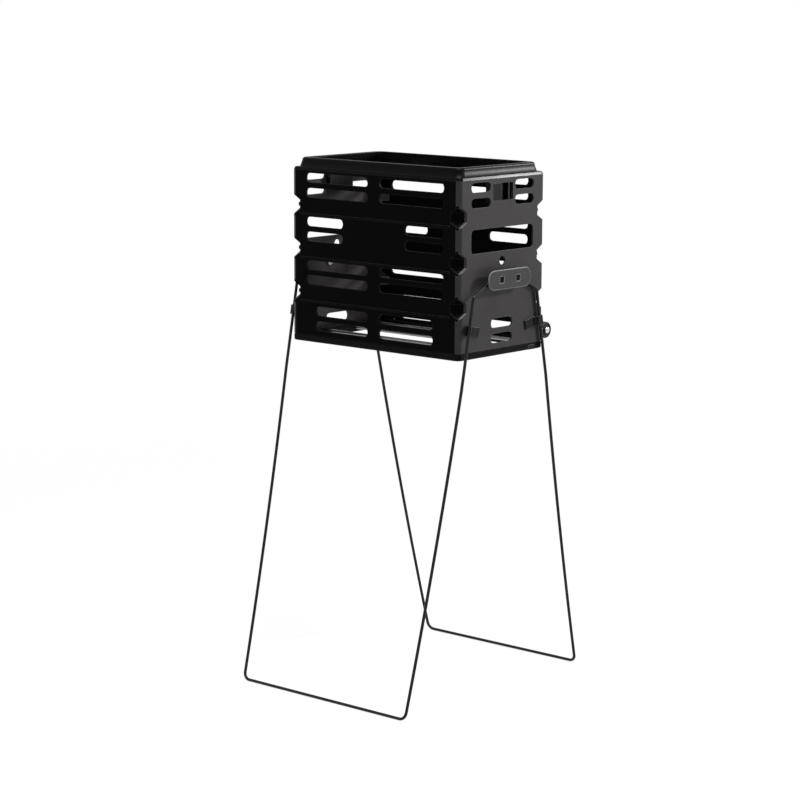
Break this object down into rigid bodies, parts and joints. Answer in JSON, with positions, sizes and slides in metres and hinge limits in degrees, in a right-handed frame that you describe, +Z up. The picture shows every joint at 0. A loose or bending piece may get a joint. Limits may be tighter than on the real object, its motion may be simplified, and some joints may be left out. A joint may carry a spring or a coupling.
{
  "type": "tennis ball hopper",
  "caption": "Slotted plastic ball basket with rolling floor bars, on wire leg frames that swing up and meet as a carry handle.",
  "frame": {"origin": "on the floor under the middle of the basket, at the bottom centre of the bounding box", "axes": "+Z up, +X along the basket's long side, -Y towards the front leg frame, +Y towards the wheels"},
  "size_m": [0.3936, 0.461, 0.863],
  "materials": {
    "long_wall": "moulded, low sheen, near black",
    "short_wall": "moulded, fine grain, warm charcoal",
    "rim": "moulded, semi-gloss, near black",
    "plate": "moulded, satin, dark grey",
    "clip": "moulded, semi-gloss, black",
    "wheel": "moulded, black",
    "coated_wire": "black powder coat on steel wire",
    "bar_steel": "drawn steel rod",
    "post_steel": "blackened steel of posts and corner screws",
    "screw_steel": "zinc plated steel",
    "bolt_chrome": "bright plated cap"
  },
  "bodies": {
    "basket": {"wall_front": "long_wall", "wall_rear": "long_wall", "wall_right": "short_wall", "wall_left": "short_wall", "top_rim": "rim", "bottom_frame": "rim", "corner_screw_front_right_1": "post_steel", "corner_screw_front_right_2": "post_steel", "corner_screw_front_right_3": "post_steel", "corner_screw_front_left_1": "post_steel", "corner_screw_front_left_2": "post_steel", "corner_screw_front_left_3": "post_steel", "corner_screw_rear_right_1": "post_steel", "corner_screw_rear_right_2": "post_steel", "corner_screw_rear_right_3": "post_steel", "corner_screw_rear_left_1": "post_steel", "corner_screw_rear_left_2": "post_steel", "corner_screw_rear_left_3": "post_steel", "bracket_screw_right_1": "screw_steel", "bracket_screw_right_2": "screw_steel", "bracket_screw_left_1": "screw_steel", "bracket_screw_left_2": "screw_steel", "pivot_plate_right": "plate", "pivot_plate_left": "plate", "pivot_post_right_front": "post_steel", "pivot_post_right_rear": "post_steel", "pivot_post_left_front": "post_steel", "pivot_post_left_rear": "post_steel", "pivot_nut_right_front": "screw_steel", "pivot_nut_right_rear": "screw_steel", "pivot_nut_left_front": "screw_steel", "pivot_nut_left_rear": "screw_steel", "leg_clip_right_front": "clip", "leg_clip_right_rear": "clip", "leg_clip_left_front": "clip", "leg_clip_left_rear": "clip", "handle_clip_right": "clip", "handle_clip_left": "clip", "frame_catch_right": "clip", "frame_catch_left": "clip", "wheel_bolt_right": "bolt_chrome", "wheel_bolt_left": "bolt_chrome", "wheel_nut_right": "screw_steel", "wheel_nut_left": "screw_steel", "wheel_bracket_right": "clip", "wheel_bracket_left": "clip"},
    "front_leg": {"front_leg": "coated_wire"},
    "rear_leg": {"rear_leg": "coated_wire"},
    "wheel_right": {"wheel_right": "wheel"},
    "wheel_left": {"wheel_left": "wheel"},
    "roller_bar_1": {"roller_bar_1": "bar_steel"},
    "roller_bar_2": {"roller_bar_2": "bar_steel"},
    "roller_bar_3": {"roller_bar_3": "bar_steel"},
    "roller_bar_4": {"roller_bar_4": "bar_steel"}
  },
  "joints": [
    {"name": "front_leg_swing", "type": "hinge", "parent": "basket", "child": "front_leg", "pos_m": [0, -0.0204, 0.6835], "axis": [-1, 0, 0], "range_deg": [0, 164.4]},
    {"name": "rear_leg_swing", "type": "hinge", "parent": "basket", "child": "rear_leg", "pos_m": [0, 0.0204, 0.6835], "axis": [1, 0, 0], "range_deg": [0, 164.4]},
    {"name": "wheel_right_spin", "type": "hinge", "parent": "basket", "child": "wheel_right", "pos_m": [0.165, 0.1275, 0.5855], "axis": [1, 0, 0], "continuous": true},
    {"name": "wheel_left_spin", "type": "hinge", "parent": "basket", "child": "wheel_left", "pos_m": [-0.165, 0.1275, 0.5855], "axis": [1, 0, 0], "continuous": true},
    {"name": "roller_bar_1_roll", "type": "hinge", "parent": "basket", "child": "roller_bar_1", "pos_m": [0, -0.096, 0.568], "axis": [1, 0, 0], "continuous": true},
    {"name": "roller_bar_2_roll", "type": "hinge", "parent": "basket", "child": "roller_bar_2", "pos_m": [0, -0.032, 0.568], "axis": [1, 0, 0], "continuous": true},
    {"name": "roller_bar_3_roll", "type": "hinge", "parent": "basket", "child": "roller_bar_3", "pos_m": [0, 0.032, 0.568], "axis": [1, 0, 0], "continuous": true},
    {"name": "roller_bar_4_roll", "type": "hinge", "parent": "basket", "child": "roller_bar_4", "pos_m": [0, 0.096, 0.568], "axis": [1, 0, 0], "continuous": true}
  ]
}
